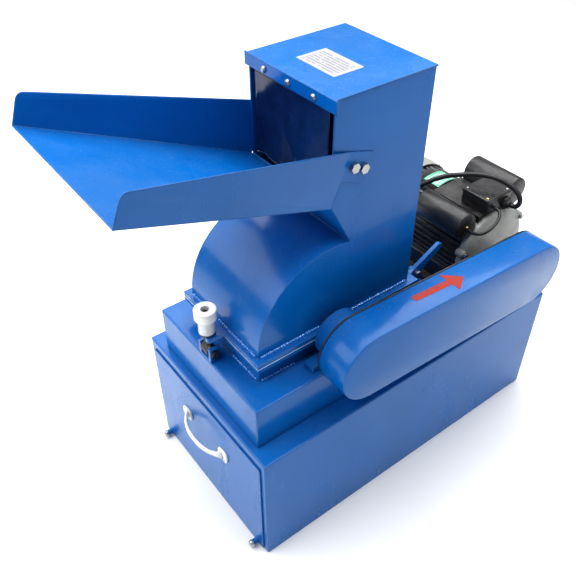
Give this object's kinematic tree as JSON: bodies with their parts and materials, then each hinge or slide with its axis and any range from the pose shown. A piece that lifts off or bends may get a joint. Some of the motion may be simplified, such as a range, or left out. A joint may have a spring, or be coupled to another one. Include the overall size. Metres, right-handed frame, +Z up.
{
  "type": "hammer mill",
  "caption": "Hammer mill on a drawer cabinet: lidded milling chamber with feed tower and tray, belt guard, and a finned motor with its cord.",
  "frame": {"origin": "middle of the cabinet's underside, on the surface it stands on", "axes": "+Z up; -X towards the drawer and feed tray; +X towards the motor; -Y towards the belt guard"},
  "size_m": [0.7772, 0.4982, 0.738],
  "materials": {
    "cabinet": "gloss blue paint",
    "plinth": "gloss blue paint",
    "lower_chamber": "gloss blue paint",
    "screen": "plain steel",
    "bearing_near": "gloss blue paint",
    "bearing_far": "gloss blue paint",
    "latch_ears": "gloss blue paint",
    "latch_pin": "blackened steel",
    "hinge_base": "gloss blue paint",
    "hinge_pin": "bright zinc plate",
    "v_belt": "black rubber",
    "belt_guard": "gloss blue paint",
    "guard_back_plate": "black paint",
    "motor_frame": "black paint",
    "drive_end_bell": "grey paint",
    "fan_cover": "grey paint",
    "motor_base": "gloss blue paint",
    "terminal_box": "black plastic",
    "cable_gland": "black plastic",
    "start_capacitor": "black plastic",
    "run_capacitor": "black plastic",
    "capacitor_lead": "black rubber",
    "mains_cord": "black rubber",
    "cord_coil": "black rubber",
    "mains_plug": "black plastic",
    "drawer_bin": "gloss blue paint",
    "drawer_front": "gloss blue paint",
    "drawer_handle": "white paint",
    "corner_screw_left": "bright zinc plate",
    "corner_screw_right": "bright zinc plate",
    "upper_housing": "gloss blue paint",
    "tower_cover": "gloss blue paint",
    "lip_screw_1": "bright zinc plate",
    "lip_screw_2": "bright zinc plate",
    "lip_screw_3": "bright zinc plate",
    "feed_tray": "gloss blue paint",
    "tray_bolt_near_1": "bright zinc plate",
    "tray_bolt_near_2": "bright zinc plate",
    "tray_bolt_far_1": "bright zinc plate",
    "tray_bolt_far_2": "bright zinc plate",
    "hinge_arm": "gloss blue paint",
    "curtain": "black rubber",
    "swing_bolt": "bright zinc plate",
    "clamp_washer": "bright zinc plate",
    "clamp_knob": "white paint",
    "rotor_shaft": "plain steel",
    "rotor_disc_near": "dark cast iron",
    "rotor_disc_far": "dark cast iron",
    "hammer_pin_1": "plain steel",
    "hammer_pin_2": "plain steel",
    "hammer_pin_3": "plain steel",
    "hammer_pin_4": "plain steel",
    "rotor_pulley": "dark cast iron",
    "hammer_1": "plain steel",
    "hammer_2": "plain steel",
    "hammer_3": "plain steel",
    "hammer_4": "plain steel",
    "motor_rotor": "plain steel",
    "motor_pulley": "dark cast iron",
    "cooling_fan": "black plastic"
  },
  "bodies": {
    "root": {"cabinet": "cabinet", "plinth": "plinth", "lower_chamber": "lower_chamber", "screen": "screen", "bearing_near": "bearing_near", "bearing_far": "bearing_far", "latch_ears": "latch_ears", "latch_pin": "latch_pin", "hinge_base": "hinge_base", "hinge_pin": "hinge_pin", "v_belt": "v_belt", "belt_guard": "belt_guard", "guard_back_plate": "guard_back_plate", "motor_frame": "motor_frame", "drive_end_bell": "drive_end_bell", "fan_cover": "fan_cover", "motor_base": "motor_base", "terminal_box": "terminal_box", "cable_gland": "cable_gland", "start_capacitor": "start_capacitor", "run_capacitor": "run_capacitor", "capacitor_lead": "capacitor_lead", "mains_cord": "mains_cord", "cord_coil": "cord_coil", "mains_plug": "mains_plug"},
    "drawer": {"drawer_bin": "drawer_bin", "drawer_front": "drawer_front", "drawer_handle": "drawer_handle", "corner_screw_left": "corner_screw_left", "corner_screw_right": "corner_screw_right"},
    "lid": {"upper_housing": "upper_housing", "tower_cover": "tower_cover", "lip_screw_1": "lip_screw_1", "lip_screw_2": "lip_screw_2", "lip_screw_3": "lip_screw_3", "feed_tray": "feed_tray", "tray_bolt_near_1": "tray_bolt_near_1", "tray_bolt_near_2": "tray_bolt_near_2", "tray_bolt_far_1": "tray_bolt_far_1", "tray_bolt_far_2": "tray_bolt_far_2", "hinge_arm": "hinge_arm"},
    "curtain": {"curtain": "curtain"},
    "latch": {"swing_bolt": "swing_bolt"},
    "washer": {"clamp_washer": "clamp_washer"},
    "knob": {"clamp_knob": "clamp_knob"},
    "rotor": {"rotor_shaft": "rotor_shaft", "rotor_disc_near": "rotor_disc_near", "rotor_disc_far": "rotor_disc_far", "hammer_pin_1": "hammer_pin_1", "hammer_pin_2": "hammer_pin_2", "hammer_pin_3": "hammer_pin_3", "hammer_pin_4": "hammer_pin_4", "rotor_pulley": "rotor_pulley"},
    "hammer_1": {"hammer_1": "hammer_1"},
    "hammer_2": {"hammer_2": "hammer_2"},
    "hammer_3": {"hammer_3": "hammer_3"},
    "hammer_4": {"hammer_4": "hammer_4"},
    "motor_spindle": {"motor_rotor": "motor_rotor", "motor_pulley": "motor_pulley", "cooling_fan": "cooling_fan"}
  },
  "joints": [
    {"name": "drawer_slide", "type": "slide", "parent": "root", "child": "drawer", "axis": [-1, 0, 0], "range_m": [0, 0.28]},
    {"name": "lid_hinge", "type": "hinge", "parent": "root", "child": "lid", "pos_m": [0.052, 0, 0.3623], "axis": [0, 1, 0], "range_deg": [0, 58]},
    {"name": "curtain_swing", "type": "hinge", "parent": "lid", "child": "curtain", "pos_m": [-0.1435, 0, 0.71], "axis": [0, -1, 0], "range_deg": [0, 60]},
    {"name": "latch_swing", "type": "hinge", "parent": "root", "child": "latch", "pos_m": [-0.299, 0, 0.338], "axis": [0, -1, 0], "range_deg": [0, 110]},
    {"name": "washer_slide", "type": "slide", "parent": "latch", "child": "washer", "axis": [0, 0, 1], "range_m": [0, 0.0121]},
    {"name": "knob_turn", "type": "hinge", "parent": "washer", "child": "knob", "pos_m": [-0.299, 0, 0.3738], "axis": [0, 0, 1], "range_deg": [0, 2468]},
    {"name": "rotor_spin", "type": "hinge", "parent": "root", "child": "rotor", "pos_m": [-0.138, 0, 0.361], "axis": [0, 1, 0], "continuous": true},
    {"name": "motor_spin", "type": "hinge", "parent": "root", "child": "motor_spindle", "pos_m": [0.232, 0, 0.339], "axis": [0, 1, 0], "continuous": true},
    {"name": "hammer_swing_1", "type": "hinge", "parent": "rotor", "child": "hammer_1", "pos_m": [-0.09416, 0, 0.40484], "axis": [0, 1, 0], "continuous": true},
    {"name": "hammer_swing_2", "type": "hinge", "parent": "rotor", "child": "hammer_2", "pos_m": [-0.18184, 0, 0.40484], "axis": [0, 1, 0], "continuous": true},
    {"name": "hammer_swing_3", "type": "hinge", "parent": "rotor", "child": "hammer_3", "pos_m": [-0.18184, 0, 0.31716], "axis": [0, 1, 0], "continuous": true},
    {"name": "hammer_swing_4", "type": "hinge", "parent": "rotor", "child": "hammer_4", "pos_m": [-0.09416, 0, 0.31716], "axis": [0, 1, 0], "continuous": true}
  ],
  "couplings": [
    {"joint": "rotor_spin", "follows": "motor_spin", "ratio": 1.3939},
    {"joint": "washer_slide", "follows": "knob_turn", "m_per_rad": 0.00027852}
  ]
}
